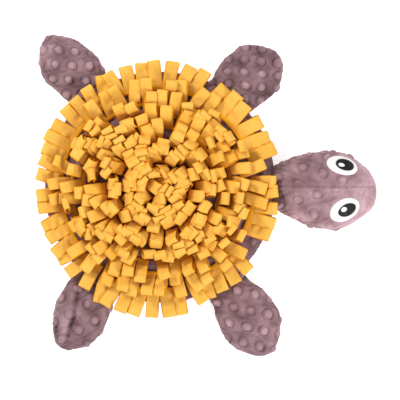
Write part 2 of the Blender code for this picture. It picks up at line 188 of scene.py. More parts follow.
def felt_lengths():
    """Every length of slit felt, with the bearing of each of its loops."""
    lengths = []

    def add(node, row, radius, floor, leans_deg, fullness, bearings, pitch, centre=ROWS_CENTRE):
        leans = [math.radians(lean) for lean in leans_deg]
        lengths.append(Length(node, row, centre, radius, floor, leans, fullness, bearings, pitch))

    for number, outer in enumerate(OUTER_LENGTHS, start=1):
        bearings = np.radians(np.linspace(outer.first_deg, outer.last_deg, outer.loops))
        radius = row_radius(1) + outer.outside
        add(f"fringe_1_{number}", 1, radius, shoulder_height(radius) + CHANNEL_LIFT, outer.leans_deg,
            OUTER_FULLNESS, bearings, bearings[1] - bearings[0])
    for number, row in enumerate(INNER_ROWS, start=2):
        share = 2 * math.pi / row.lengths
        pitch = (share - END_GAP / row_radius(number)) / row.loops
        for k in range(row.lengths):
            bearings = math.radians(row.first_deg) + k * share + pitch * np.arange(row.loops)
            add(f"fringe_{number}_{k + 1}", number, row_radius(number), foot_floor(number),
                (row.lean_deg,) * 2, row.fullness, bearings, pitch)
    pitch = CENTRE_PITCH / CENTRE_BOW
    bearings = pitch * (np.arange(CENTRE_LOOPS) - (CENTRE_LOOPS - 1) / 2)
    add("fringe_centre", len(INNER_ROWS) + 2, CENTRE_BOW, SHELL_HEIGHT + SEW_GAP,
        (CENTRE_LEAN_DEG,) * 2, CENTRE_FULLNESS, bearings, pitch, ROWS_CENTRE - (CENTRE_BOW, 0, 0))
    for between in BETWEEN_ROWS:
        radius = row_radius(between.row + 0.5)
        pitch = BETWEEN_PITCH / radius
        for k in range(between.lengths):
            first = math.radians(between.first_deg + 360 / between.lengths * k)
            bearings = first + pitch * np.arange(between.loops)
            add(f"between_{between.row}_{k + 1}", between.row, radius, shell_top(radius) + SEW_GAP,
                (between.lean_deg,) * 2, BETWEEN_FULLNESS, bearings, pitch)
    return lengths


def loop_axes(lean, bearing):
    """Along the row, up the loop, and across its two layers."""
    out = np.array((math.cos(bearing), math.sin(bearing), 0.0))
    around = np.array((-math.sin(bearing), math.cos(bearing), 0.0))
    rise = out * math.cos(lean) + UP * math.sin(lean)
    thick = UP * math.cos(lean) - out * math.sin(lean)
    return around, rise, thick


# ------------ felt: particles of a loop
ALONG = 25  # rows of particles from one raw edge, over the fold, to the other
ACROSS = 6
CONTACT = 0.0026  # nearest distance between particles of two loops
SELF_CONTACT = 0.0020  # between the two layers of one loop
OPEN_AT_START = 0.3  # of a loop's fullness
INSET = CONTACT / 2  # the outer columns of particles lie this far inside the cut edges
STEP_ALONG = 2 * LOOP_LENGTH / (ALONG - 1)
STEP_ACROSS = (LOOP_WIDTH - 2 * INSET) / (ACROSS - 1)
SLIT = 0.0003
DROP_POWER = 1.5  # how slim a loop is near its foot
DROP_POINTS = 241  # on a loop's outline while its height is worked out
DROP_ROUNDS = 4
FIXED_ROWS = 2  # rows of particles held in the foot


def drop_outline(fullness):
    """Heights and offsets of a loop's middle line, seen from its side, from one end to the other."""
    turn = np.linspace(0, 2 * math.pi, DROP_POINTS)
    bulge = np.sin(turn) * np.abs(np.sin(turn / 2)) ** DROP_POWER
    offset = -(fullness / 2 - FELT / 2) * bulge / bulge.max() - FELT / 2 * np.cos(turn / 2)
    height = LOOP_LENGTH - FOOT_HEIGHT
    for _ in range(DROP_ROUNDS):
        along = FOOT_HEIGHT + height * (1 - np.cos(turn)) / 2
        length = np.hypot(np.diff(along), np.diff(offset)).sum()
        height *= 2 * (LOOP_LENGTH - FOOT_HEIGHT) / length
    along = np.concatenate([[0], along, [0]])
    offset = np.concatenate([[-FELT / 2], offset, [FELT / 2]])
    run = np.concatenate([[0], np.cumsum(np.hypot(np.diff(along), np.diff(offset)))])
    places = np.linspace(0, run[-1], ALONG)
    return np.interp(places, run, along), np.interp(places, run, offset)


# How far the loops of each row stray. A loop falls in or out by least_deg to fall_deg, on top of the
# row's mean droop, and along the row by side_deg and turns about its own length by turn_deg at most.
Ruffle = namedtuple("Ruffle", "least_deg fall_deg side_deg turn_deg droop_deg slimmest")
RUFFLES = {
    1: Ruffle(0, 11, 15, 16, 3, 0.7),
    2: Ruffle(0, 16, 17, 22, 8, 0.65),
    3: Ruffle(4, 28, 15, 30, 6, 0.6),
    4: Ruffle(8, 36, 13, 32, 4, 0.65),
    5: Ruffle(10, 42, 12, 36, 0, 0.65),
}
RUFFLES.update((row, Ruffle(10, 42, 12, 38, 0, 0.65)) for row in (6, 7, 8, 9))
FULLEST = 1.1
OUTER_STRETCH = 0.035  # how much longer or shorter a loop of the outermost row may be
OUTER_WIDER = 1.12  # its loops are a little wider than their share of the foot, and overlap
SEED = 11

# At a parting the second row has fallen inwards, off the first, and the plush shows between them. The
# fall is half of PARTING_FALL_DEG at half_deg to either side, and 0 from PARTING_REACH times that on.
Parting = namedtuple("Parting", "bearing_deg half_deg")
PARTINGS = (Parting(38, 13), Parting(149, 14), Parting(202, 12), Parting(337, 9))
PARTING_REACH = 1.5
PARTING_FALL_DEG = 88
PARTED_ROW = 2


def parting_fall(length, bearing):
    """How far a loop has fallen inwards for the partings, in degrees."""
    if length.row != PARTED_ROW:
        return 0.0
    share = 0.0
    for parting in PARTINGS:
        beside = abs((math.degrees(bearing) - parting.bearing_deg + 180) % 360 - 180)
        share = max(share, PARTING_REACH - beside / parting.half_deg)
    return PARTING_FALL_DEG * min(1.0, share)


class Loops:
    """All loops at once: their axes, their particles at the start, and how each is to be ruffled."""

    def __init__(self, lengths):
        rng = np.random.default_rng(SEED)
        loops = []
        for length in lengths:
            outline = np.stack(drop_outline(length.fullness), axis=1)
            spread = RUFFLES[length.row]
            wider, spare = (OUTER_WIDER, OUTER_STRETCH) if length.row == 1 else (1.0, 0.0)
            width = wider * length.pitch * length.radius - SLIT
            for bearing in length.bearings:
                around, rise, thick = loop_axes(lean_at(length, bearing), bearing)
                fall = rng.uniform(spread.least_deg, spread.fall_deg) * rng.choice((-1, 1))
                side, turn = rng.uniform(-1, 1, 2) * (spread.side_deg, spread.turn_deg)
                angles = (fall - spread.droop_deg + parting_fall(length, bearing), side, turn)
                slim = rng.uniform(spread.slimmest, FULLEST)
                stretch = 1 + rng.uniform(-spare, spare)
                loops.append((foot_at(length, bearing), (rise, thick, around), outline, angles, slim,
                              width, stretch))
        self.feet, self.axes, self.flat, angles, slim, width, stretch = map(np.array, zip(*loops))
        self.angles = np.radians(angles)
        self.slim = slim[:, None, None]
        self.stretch = stretch[:, None, None]
        self.step_across = STEP_ACROSS * width[:, None, None] / LOOP_WIDTH
        self.across = (np.arange(ACROSS) - (ACROSS - 1) / 2) * self.step_across

    def places(self, share):
        """Where the particles would lie with that share of the ruffling, if nothing were in the way."""
        height, offset, wide = np.broadcast_arrays(self.flat[:, :, None, 0] * self.stretch,
                                                   self.flat[:, :, None, 1], self.across)
        offset = offset * (OPEN_AT_START + share * (self.slim - OPEN_AT_START))
        free = np.clip((height - FOOT_HEIGHT) / (LOOP_LENGTH - FOOT_HEIGHT), 0, 1)
        tilt, side, twist = (self.angles[:, k, None, None] * share * free for k in range(3))
        offset, wide = turned(offset, wide, twist)
        height, wide = turned(height, wide, side)
        height, offset = turned(height, offset, tilt)
        local = np.stack([height, offset, wide], axis=-1)
        return self.feet[:, None, None] + np.einsum("lrck,lkx->lrcx", local, self.axes)


# ------------ felt: what lies under it
GROUND_STEP = 0.003
GROUND_MARGIN = 10  # steps of floor round the part
GROUND_SMOOTHINGS = 2
GROUND_CLEAR = 0.0014  # middle of the felt above the plush


def look_down(tree, x, y):
    """Where a ray from above meets the surface, and its normal there."""
    return tree.ray_cast(Vector((x, y, LOOK_FROM)), Vector((0, 0, -1)))[:2]


class Ground:
    """Height of the plush, or of the floor, under a square grid of points."""

    def __init__(self, names):
        points, faces = [], []
        for name in names:
            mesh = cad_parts[name].data
            start = len(points)
            points.extend(vertex.co for vertex in mesh.vertices)
            faces.extend([start + i for i in face.vertices] for face in mesh.polygons)
        tree = BVHTree.FromPolygons(points, faces)
        low, high = (np.array(corner[:2]) for corner in CAD_BOX)
        self.low = low - GROUND_MARGIN * GROUND_STEP
        size = np.ceil((high - low) / GROUND_STEP).astype(int) + 2 * GROUND_MARGIN
        self.heights = np.zeros(size)
        for i in range(size[0]):
            for j in range(size[1]):
                hit = look_down(tree, *(self.low + GROUND_STEP * np.array((i, j))))[0]
                self.heights[i, j] = hit.z if hit else 0.0
        for _ in range(GROUND_SMOOTHINGS):
            for axis in (0, 1):
                before, after = (np.roll(self.heights, shift, axis) for shift in (1, -1))
                self.heights = 0.25 * before + 0.5 * self.heights + 0.25 * after
        self.slopes = np.stack(np.gradient(self.heights, GROUND_STEP), axis=-1)

    def lift(self, points):
        """How far to move points so that the felt clears what is under it."""
        place = (points[:, :2] - self.low) / GROUND_STEP
        corner = np.clip(np.floor(place).astype(int), 0, np.array(self.heights.shape) - 2)
        u, v = (place - corner).T
        i, j = corner.T
        height = ((1 - u) * (1 - v) * self.heights[i, j] + u * (1 - v) * self.heights[i + 1, j]
                  + (1 - u) * v * self.heights[i, j + 1] + u * v * self.heights[i + 1, j + 1])
        slope = self.slopes[i, j]
        normal = np.concatenate([-slope, np.ones((len(points), 1))], axis=1)
        normal /= np.linalg.norm(normal, axis=1)[:, None]
        depth = np.maximum(0, height + GROUND_CLEAR - points[:, 2]) * normal[:, 2]
        return normal * depth[:, None]


# ------------ felt: the solver
STEPS = 200
RUFFLED_BY = 0.70  # share of the steps in which the loops are pulled to their places
ROUNDS = 6  # of mending lengths and contacts in one step
PULL = 0.12  # share of the way to its place that a particle is moved in one step
PULL_LEFT = 0.04  # the same after RUFFLED_BY
DRAG = 0.80  # speed kept from step to step
SINK = 0.00003  # weight: metres per step squared
LEG_BEND = 0.40
FOLD_BEND = 0.06
FOLD_ROWS = 5  # rows of particles that make the fold
ACROSS_BEND = 0.90
ACROSS_REACHES = (3, 5)  # columns whose distance keeps a loop from curling up sideways
SHEAR = 0.35
FARTHEST_PUSH = 0.0008  # by which a contact moves a particle in one round
PAIR_REACH = 1.45 * CONTACT
STEPS_PER_SEARCH = 3


def near_pairs(points, reach):
    """Index pairs of points within reach of each other, found on a grid of cells."""
    cell = np.floor(points / reach).astype(np.int64)
    cell -= cell.min(axis=0) - 1
    size = cell.max(axis=0) + 2
    key = (cell[:, 0] * size[1] + cell[:, 1]) * size[2] + cell[:, 2]
    order = np.argsort(key, kind="stable")
    sorted_key = key[order]
    firsts, seconds = [], []
    steps = [(i, j, k) for i in (-1, 0, 1) for j in (-1, 0, 1) for k in (-1, 0, 1)]
    for step in steps[len(steps) // 2:]:
        other = key + (step[0] * size[1] + step[1]) * size[2] + step[2]
        start = np.searchsorted(sorted_key, other, "left")
        count = np.searchsorted(sorted_key, other, "right") - start
        first = np.repeat(np.arange(len(points)), count)
        offset = np.arange(len(first)) - np.repeat(np.cumsum(count) - count, count)
        second = order[np.repeat(start, count) + offset]
        if step == (0, 0, 0):
            keep = first < second
            first, second = first[keep], second[keep]
        firsts.append(first)
        seconds.append(second)
    first, second = np.concatenate(firsts), np.concatenate(seconds)
    gap = points[second] - points[first]
    near = np.einsum("ij,ij->i", gap, gap) < reach * reach
    return first[near], second[near]


def hold(a, b, weight_a, weight_b, rest, stiffness, push_only=False):
    """Moves two sets of particles, views of one array, towards their resting distance."""
    gap = b - a
    distance = np.sqrt(np.einsum("...k,...k->...", gap, gap))[..., None] + TINY
    off = distance - rest
    if push_only:
        off = np.minimum(off, 0)
    gap *= stiffness * off / distance / np.maximum(weight_a + weight_b, TINY)
    a += weight_a * gap
    b -= weight_b * gap


def settle(loops, ground):
    """Ruffles the loops step by step while the felt keeps its length and nothing passes through."""
    points = loops.places(0.0)
    count = points.shape[0]
    step_across = loops.step_across[..., None]
    step_along = STEP_ALONG * loops.stretch[..., None]
    weight = np.ones((ALONG, 1, 1))
    weight[:FIXED_ROWS] = 0
    weight[-FIXED_ROWS:] = 0
    loop_of = np.repeat(np.arange(count), ALONG * ACROSS)
    row_of = np.tile(np.repeat(np.arange(ALONG), ACROSS), count)
    free = np.tile(np.repeat(weight[:, 0, 0], ACROSS), count)
    flat = points.reshape(-1, 3)
    before = points.copy()
    for step in range(STEPS):
        share = step / (STEPS * RUFFLED_BY)
        target = loops.places(smooth(share))
        speed = (points - before) * DRAG
        before = points.copy()
        points += weight * speed
        points[..., 2] -= (weight * SINK)[..., 0]
        points += weight * (target - points) * (PULL if share < 1 else PULL_LEFT)
        if step % STEPS_PER_SEARCH == 0:
            pairs = contact_pairs(flat, loop_of, row_of, free)
        for _ in range(ROUNDS):
            keep_felt(points, weight, step_along, step_across)
            push_apart(flat, pairs, free)
            flat += ground.lift(flat) * free[:, None]
    return points


def contact_pairs(flat, loop_of, row_of, free):
    """Particles that may touch, and how far apart they have to stay."""
    first, second = near_pairs(flat, PAIR_REACH)
    same = loop_of[first] == loop_of[second]
    apart = np.abs(row_of[first] - row_of[second]) > FOLD_ROWS
    keep = (~same | apart) & (free[first] + free[second] > 0)
    first, second, same = first[keep], second[keep], same[keep]
    return first, second, np.where(same, SELF_CONTACT, CONTACT)


def keep_felt(points, weight, step_along, step_across):
    """Lengths along and across each band, its squareness, and its stiffness against bending."""
    for start in (0, 1):
        a, b = points[:, start:-1:2], points[:, start + 1::2]
        hold(a, b, weight[start:-1:2], weight[start + 1::2], step_along, 1.0)
    for start in (0, 1):
        a, b = points[:, :, start:-1:2], points[:, :, start + 1::2]
        hold(a, b[:, :, :a.shape[2]], weight, weight, step_across, 1.0)
    diagonal = np.hypot(step_along, step_across)
    for start in (0, 1):
        low, high = weight[start:-1:2], weight[start + 1::2]
        hold(points[:, start:-1:2, :-1], points[:, start + 1::2, 1:], low, high, diagonal, SHEAR)
        hold(points[:, start:-1:2, 1:], points[:, start + 1::2, :-1], low, high, diagonal, SHEAR)
    for start in range(4):
        a, b = points[:, start:-2:4], points[:, start + 2::4]
        a = a[:, :b.shape[1]]
        middle = np.arange(start + 1, ALONG - 1, 4)[:b.shape[1], None, None]
        fold = np.abs(middle - ALONG // 2) <= FOLD_ROWS // 2
        hold(a, b, weight[start:-2:4][:b.shape[1]], weight[start + 2::4], 2 * step_along,
             np.where(fold, FOLD_BEND, LEG_BEND), push_only=True)
    for reach in ACROSS_REACHES:
        for start in range(ACROSS - reach):
            hold(points[:, :, start], points[:, :, start + reach], weight[:, 0], weight[:, 0],
                 reach * step_across[:, :, 0], ACROSS_BEND, push_only=True)


def push_apart(flat, pairs, free):
    """Parts the pairs that are too near; a particle in many contacts moves by a share of their sum."""
    first, second, reach = pairs
    gap = flat[second] - flat[first]
    distance = np.sqrt(np.einsum("ij,ij->i", gap, gap)) + TINY
    short = reach - distance
    hit = short > 0
    first, second, gap, distance, short = first[hit], second[hit], gap[hit], distance[hit], short[hit]
    push = np.minimum(short, FARTHEST_PUSH) / distance
    share = free[first] + free[second]
    gap *= (push / share)[:, None]
    total = len(flat)
    touches = np.bincount(first, minlength=total) + np.bincount(second, minlength=total)
    calm = free / np.maximum(1.0, 0.5 * touches + 0.5)
    for k in range(3):
        moved = np.bincount(second, gap[:, k], total) - np.bincount(first, gap[:, k], total)
        flat[:, k] += moved * calm


# ------------ felt: surfaces
FINE = 2  # stations between two rows of particles
HALF_WIDTH = LOOP_WIDTH / 2
HALF_FELT = FELT / 2
EDGE = 0.0005  # rounding of a cut edge
NUDGE = 0.05  # of a column, to read the direction across a band


def band_profile():
    """Cross-section of the felt: distance across the band and from its middle, all the way round."""
    flat = (HALF_WIDTH - 1.8 * EDGE) * np.array((-1, -0.5, 0, 0.5, 1))
    round_off = ((HALF_WIDTH - 0.5 * EDGE, HALF_FELT - 0.6 * EDGE), (HALF_WIDTH, 0),
                 (HALF_WIDTH - 0.5 * EDGE, -HALF_FELT + 0.6 * EDGE))
    ring = [(x, HALF_FELT) for x in flat]
    ring.extend(round_off)
    ring.extend((-x, -HALF_FELT) for x in flat)
    ring.extend((-x, -y) for x, y in round_off)
    return np.array(ring)


def spline_weights(places, count):
    """Rows of weights that read a smooth curve through count evenly spaced points at given places."""
    def point(i):
        inside = min(max(i, 0), count - 1)
        beyond = abs(i - inside)
        row = np.zeros(count)
        row[inside] = 1 + beyond
        row[1 if i < 0 else count - 2] -= beyond
        return row

    rows = []
    for place in places:
        k = math.floor(place)
        t = place - k
        a, b, c, d = (point(k + i) for i in (-1, 0, 1, 2))
        rows.append(b + 0.5 * t * (c - a + t * (2 * a - 5 * b + 4 * c - d + t * (3 * (b - c) + d - a))))
    return np.array(rows)


def band_surfaces(points):
    """Rings of surface points, one ring at each station along each loop."""
    profile = band_profile()
    along = spline_weights(np.arange((ALONG - 1) * FINE + 1) / FINE, ALONG)
    place = profile[:, 0] / STEP_ACROSS + (ACROSS - 1) / 2
    across = spline_weights(place, ACROSS)
    slope_across = spline_weights(place + NUDGE, ACROSS) - spline_weights(place - NUDGE, ACROSS)
    run = np.einsum("sr,lrcx->lscx", along, points)
    middle = np.einsum("pc,lscx->lspx", across, run)
    sideways = np.einsum("pc,lscx->lspx", slope_across, run)
    forwards = np.gradient(middle, axis=1)
    normal = np.cross(forwards, sideways)
    normal /= np.linalg.norm(normal, axis=-1)[..., None]
    return middle + normal * profile[:, 1][:, None]


def tube(rings):
    """Points and faces of a closed tube through rings of equal length, with flat ends."""
    stations, size = rings.shape[:2]
    i, j = np.meshgrid(np.arange(stations - 1), np.arange(size), indexing="ij")
    ahead = (j + 1) % size
    quads = np.stack([i * size + j, i * size + ahead, (i + 1) * size + ahead, (i + 1) * size + j],
                     axis=-1).reshape(-1, 4)
    last = (stations - 1) * size
    ends = [range(size - 1, -1, -1), range(last, last + size)]
    return rings.reshape(-1, 3), quads.tolist() + ends


STRIP = 0.00175  # each layer of a foot, a little thicker than the loops that it holds
STRIP_STEP = 0.003
FEWEST_STATIONS = 8
SEAM_DIP = 0.0003  # where the stitching draws the foot in


def foot_rings(length, side):
    """One layer of a foot: a rounded strip along the row's arc. side is -1 below and 1 above."""
    reach = length.pitch * len(length.bearings)
    start = length.bearings[0] - length.pitch / 2
    count = max(FEWEST_STATIONS, round(reach * length.radius / STRIP_STEP))
    high, half = FOOT_HEIGHT, STRIP / 2
    above = [(0.0, 0.5 * half), (0.15 * high, 0.95 * half), (0.5 * high, half - SEAM_DIP),
             (0.85 * high, half), (high, 0.8 * half)]
    profile = [(up, -off) for up, off in above] + [(1.04 * high, 0)] + above[::-1] + [(-0.05 * high, 0)]
    rings = []
    for bearing in np.linspace(start, start + reach, count):
        rise, thick = loop_axes(lean_at(length, bearing), bearing)[1:]
        foot = foot_at(length, bearing)
        rings.append([foot + rise * up + thick * (off + side * FELT / 2) for up, off in profile])
    return np.array(rings)


def new_object(name, data):
    thing = bpy.data.objects.new(name, data)
    bpy.context.scene.collection.objects.link(thing)
    return thing


def make_object(name, points, faces, material):
    mesh = bpy.data.meshes.new(name)
    mesh.from_pydata(np.asarray(points, dtype=float).tolist(), [], faces)
    mesh.shade_smooth()
    mesh.materials.append(material)
    return new_object(name, mesh)


# Painted shade: the felt's tone runs from 1, in the open, to DEEPEST_SHADE_TONE between the loops, where
# the colour is painted the deeper orange of light that has passed from felt to felt. Loops that lie flat
# are in the open all along.
SHADE_FADE_HEIGHT = 0.024
OPEN_ROWS = {1: 1.0, 2: 0.6, 3: 0.3}  # added to the tone of these rows, which lie in the open and get less painted shade
DEEPEST_SHADE_TONE = 0.3
CUT_EDGE_SHADE_SHARE = 0.15  # share of the tone that is left at a cut edge: painted shade along the cut edges
# painted shade on the feet
FOOT_SHADE_TONE = 0.4


def set_tone(mesh, tone):
    attribute = mesh.attributes.new("tone", "FLOAT", "POINT")
    attribute.data.foreach_set("value", np.clip(tone, 0, 1).astype(np.float32))


def loop_painted_shade(surface, length):
    tone = (surface[..., 2] - length.floor) / SHADE_FADE_HEIGHT + OPEN_ROWS.get(length.row, 0.0)
    # painted shade: the cut edges are painted a deeper orange
    at_cut = np.abs(band_profile()[:, 0]) > HALF_WIDTH - EDGE
    return np.clip(tone, DEEPEST_SHADE_TONE, 1) * np.where(at_cut, CUT_EDGE_SHADE_SHARE, 1.0)


def make_length(length, surfaces, material):
    """One length of felt: its loops and the two layers of its foot."""
    parts = [(surface, loop_painted_shade(surface, length)) for surface in surfaces]
    for side in (-1, 1):
        strip = foot_rings(length, side)
        parts.append((strip, np.full(strip.shape[:2], FOOT_SHADE_TONE)))
    points, faces, tones = [], [], []
    for rings, tone in parts:
        start = sum(len(p) for p in points)
        part_points, part_faces = tube(rings)
        points.append(part_points)
        tones.append(tone.ravel())
        faces.extend(tuple(start + i for i in face) for face in part_faces)
    piece = make_object("felt_" + length.node, np.concatenate(points), faces, material)
    set_tone(piece.data, np.concatenate(tones))
    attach(piece, "root")
    if length.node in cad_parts:
        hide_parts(length.node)


def make_felt(material):
    lengths = felt_lengths()
    loops = Loops(lengths)
    particles = settle(loops, Ground(["shell", "head"] + [limb.node for limb in LIMBS]))
    surfaces = band_surfaces(particles)
    first = 0
    for length in lengths:
        last = first + len(length.bearings)
        make_length(length, surfaces[first:last], material)
        first = last


# ------------ materials
CLOTH_SPECULAR = 0.1


def set_inputs(node, values):
    for name, value in values.items():
        node.inputs[name].default_value = value


def new_material(name, colour, roughness, sheen=0.0, sheen_tint=(1, 1, 1), sheen_roughness=0.5):
    material = bpy.data.materials.new(name)
    material.use_nodes = True
    set_inputs(material.node_tree.nodes["Principled BSDF"], {
        "Base Color": (*colour, 1.0), "Roughness": roughness, "Specular IOR Level": CLOTH_SPECULAR,
        "Sheen Weight": sheen, "Sheen Tint": (*sheen_tint, 1.0), "Sheen Roughness": sheen_roughness})
    return material


class Nodes:
    """Short calls for adding and joining the nodes of one material."""

    def __init__(self, material):
        self.material = material
        self.tree = material.node_tree
        self.shader = self.tree.nodes["Principled BSDF"]
        self.place = self.tree.nodes.new("ShaderNodeTexCoord").outputs["Object"]

    def add(self, kind, **values):
        node = self.tree.nodes.new(kind)
        set_inputs(node, values)
        return node

    def link(self, source, node, name):
        self.tree.links.new(source, node.inputs[name])

    def noise(self, scale, detail=2.0, roughness=0.5):
        node = self.add("ShaderNodeTexNoise", Scale=scale, Detail=detail, Roughness=roughness)
        self.link(self.place, node, "Vector")
        return node.outputs["Fac"]

    def attribute(self, name):
        node = self.add("ShaderNodeAttribute")
        node.attribute_name = name
        return node.outputs["Fac"]

    def ramp(self, source, *stops):
        """stops are pairs of a position and a colour."""
        node = self.add("ShaderNodeValToRGB")
        elements = node.color_ramp.elements
        while len(elements) < len(stops):
            elements.new(0.5)
        for element, (position, colour) in zip(elements, stops):
            element.position = position
            element.color = (*colour, 1.0)
        self.link(source, node, "Fac")
        return node.outputs["Color"]

    def multiply(self, first, second):
        node = self.add("ShaderNodeMix", Factor=1.0)
        node.data_type = "RGBA"
        node.blend_type = "MULTIPLY"
        self.link(first, node, "A")
        self.link(second, node, "B")
        return node.outputs["Result"]

    def bump(self, height, distance, strength, under=None):
        node = self.add("ShaderNodeBump", Distance=distance, Strength=strength)
        self.link(height, node, "Height")
        if under is not None:
            self.link(under, node, "Normal")
        return node.outputs["Normal"]

    def finish(self, colour, normal):
        self.link(colour, self.shader, "Base Color")
        self.link(normal, self.shader, "Normal")
        return self.material


def grey(value):
    return (value, value, value)


def felt_material():
    nodes = Nodes(new_material("felt", (0.92, 0.48, 0.08), 0.95, sheen=0.1, sheen_tint=(1, 0.7, 0.3)))
    patches = nodes.ramp(nodes.noise(35), (0.3, (0.85, 0.445, 0.066)), (0.7, (0.91, 0.512, 0.098)))
    fibres = nodes.ramp(nodes.noise(1100, 3, 0.65), (0.3, grey(0.80)), (0.65, grey(1.02)))
    # painted shade: a low tone, between the loops, at their cut edges and on the feet, paints the felt a
    # deeper orange
    depth = nodes.ramp(nodes.attribute("tone"), (0.0, (0.86, 0.42, 0.08)), (0.3, (1.05, 0.87, 0.11)),
                       (1.0, grey(1.0)))
    tufts = nodes.bump(nodes.noise(420, 4, 0.6), 0.0005, 0.6)
    normal = nodes.bump(nodes.noise(1600, 2, 0.6), 0.00015, 0.6, tufts)
    return nodes.finish(nodes.multiply(nodes.multiply(patches, fibres), depth), normal)


def plush_material():
    nodes = Nodes(new_material("plush", (0.33, 0.195, 0.215), 0.9, sheen=0.8,
                               sheen_tint=(0.98, 0.76, 0.82), sheen_roughness=0.3))
    strokes = nodes.ramp(nodes.noise(70, 3, 0.6), (0.25, (0.250, 0.143, 0.160)),
                         (0.75, (0.380, 0.235, 0.260)))
    # painted light and shade: the tone attribute pales the proud pile and the head and darkens the
    # troughs; it also holds the random stroked patches of the pile
    tone = nodes.ramp(nodes.attribute("tone"), (0.0, (0.34, 0.30, 0.30)), (0.5, grey(0.97)),
                      (1.0, (1.75, 1.85, 1.85)))
    pile = nodes.ramp(nodes.noise(650, 4, 0.75), (0.25, grey(0.62)), (0.75, grey(1.12)))
    tufts = nodes.bump(nodes.noise(330, 4, 0.65), 0.0008, 0.8)
    normal = nodes.bump(nodes.noise(1500, 2, 0.6), 0.0002, 0.7, tufts)
    return nodes.finish(nodes.multiply(nodes.multiply(strokes, pile), tone), normal)


def white_material():
    nodes = Nodes(new_material("white_felt", (0.80, 0.78, 0.78), 0.9, sheen=0.2))
    fibres = nodes.ramp(nodes.noise(900, 3, 0.6), (0.3, (0.74, 0.72, 0.72)), (0.7, (0.83, 0.81, 0.81)))
    return nodes.finish(fibres, nodes.bump(nodes.noise(700, 3, 0.6), 0.0002, 0.6))


def black_material():
    nodes = Nodes(new_material("black_thread", (0.012, 0.012, 0.014), 0.45))
    strands = nodes.ramp(nodes.noise(700), (0.3, grey(0.008)), (0.7, grey(0.022)))
    return nodes.finish(strands, nodes.bump(nodes.noise(1200), 0.0002, 0.5))


# ------------ plush: fine meshes on the solids
WELD = 0.00001
SMOOTHING_PULLS = (0.5, -0.53)  # towards the neighbours, and back out, so that nothing shrinks


def read_vectors(mesh, name):
    vectors = np.empty(len(mesh.vertices) * 3)
    mesh.vertices.foreach_get(name, vectors)
    return vectors.reshape(-1, 3)


def write_points(mesh, points):
    mesh.vertices.foreach_set("co", points.ravel())
    mesh.update()


def fine_copy(node, voxel, rounds):
    """A fine, smooth mesh on a plush solid."""
    piece = new_object("plush_" + node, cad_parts[node].data.copy())
    piece.modifiers.new("weld", "WELD").merge_threshold = WELD
    remesh = piece.modifiers.new("remesh", "REMESH")
    remesh.mode = "VOXEL"
    remesh.voxel_size = voxel
    evaluated = piece.evaluated_get(bpy.context.evaluated_depsgraph_get())
    fine = bpy.data.meshes.new_from_object(evaluated)
    piece.modifiers.clear()
    piece.data = fine
    points = read_vectors(fine, "co")
    edges = np.empty(len(fine.edges) * 2, np.int64)
    fine.edges.foreach_get("vertices", edges)
    a, b = edges.reshape(-1, 2).T
    total = len(points)
    neighbours = (np.bincount(a, minlength=total) + np.bincount(b, minlength=total))[:, None]
    for _ in range(rounds):
        for pull in SMOOTHING_PULLS:
            mean = np.stack([np.bincount(a, points[b, k], total) + np.bincount(b, points[a, k], total)
                             for k in range(3)], axis=1) / neighbours
            points += pull * (mean - points)
    write_points(fine, points)
    return piece


# ------------ plush: relief
# x and y are the middle of one dot, and the others lie on a slanting grid from there.
Dots = namedtuple("Dots", "x y pitch turn_deg row_pitch row_turn_deg height")
DOT_RADIUS = 0.0055
DOT_POWER = 0.65  # 0.5 is half a ball, and more is softer
LEAST_DOT = 0.55  # height of the flattest dots, as a share of the others'
HALO = 1.5  # radius of the shallow trough round a dot, in dot radii
HALO_DEPTH = 0.0015
CREASE = (0.0015, 0.13)  # depth and half width, in row pitches, of the dip between two rows
WARP = 0.0016  # how far the fabric is pulled about between the dots
WARP_SCALE = 60
WARP_SEED = 5
noise.seed_set(WARP_SEED)  # without this, noise_vector goes by the clock

SEED_SHIFTS = (1.7, 3.1, 0.9)
SECOND_RIPPLE = 20  # added to the seed of a piece's second ripple
SLICE = 0.004  # of a limb, along which its sides are looked for
ARCH = 4 / 3  # for the length of fabric over a shallow arch


def dot_relief(places, dots):
    """Height of the dots at places in the plane of the fabric."""
    turn, row_turn = math.radians(dots.turn_deg), math.radians(dots.row_turn_deg)
    basis = np.array(((dots.pitch * math.cos(turn), dots.row_pitch * math.cos(row_turn)),
                      (dots.pitch * math.sin(turn), dots.row_pitch * math.sin(row_turn))))
    spots = [Vector((x, y, 0.0)) for x, y in places]
    pulled = places + WARP * np.array([noise.noise_vector(spot * WARP_SCALE)[:2] for spot in spots])
    share = (pulled - (dots.x, dots.y)) @ np.linalg.inv(basis).T
    cells = np.round(share)
    off = (share - cells) @ basis.T
    distance = np.hypot(off[:, 0], off[:, 1]) / DOT_RADIUS
    full = np.array([noise.cell(Vector((a + 0.5, b + 0.5, 0.5))) for a, b in cells])
    dome = np.clip(1 - distance ** 2, 0, 1) ** DOT_POWER * (LEAST_DOT + (1 - LEAST_DOT) * np.abs(full))
    halo = np.clip(1 - np.abs(distance - 1) / (HALO - 1), 0, 1)
    between_rows = np.abs(share[:, 1] - np.floor(share[:, 1]) - 0.5)
    crease = bell(between_rows, *CREASE) * smooth(distance - 1)
    return dots.height * dome - HALO_DEPTH * smooth(halo) - crease


def ripple(points, scale, depth, seed):
    """Soft random relief."""
    shift = Vector([seed * step for step in SEED_SHIFTS])
    return depth * np.array([noise.noise(Vector(point) * scale + shift) for point in points])


def rippled(height, points, ripples, seed):
    """Adds a coarse and a fine ripple to a height."""
    for k, (scale, depth) in enumerate(ripples):
        height = height + ripple(points, scale, depth, seed + k * SECOND_RIPPLE)
    return height


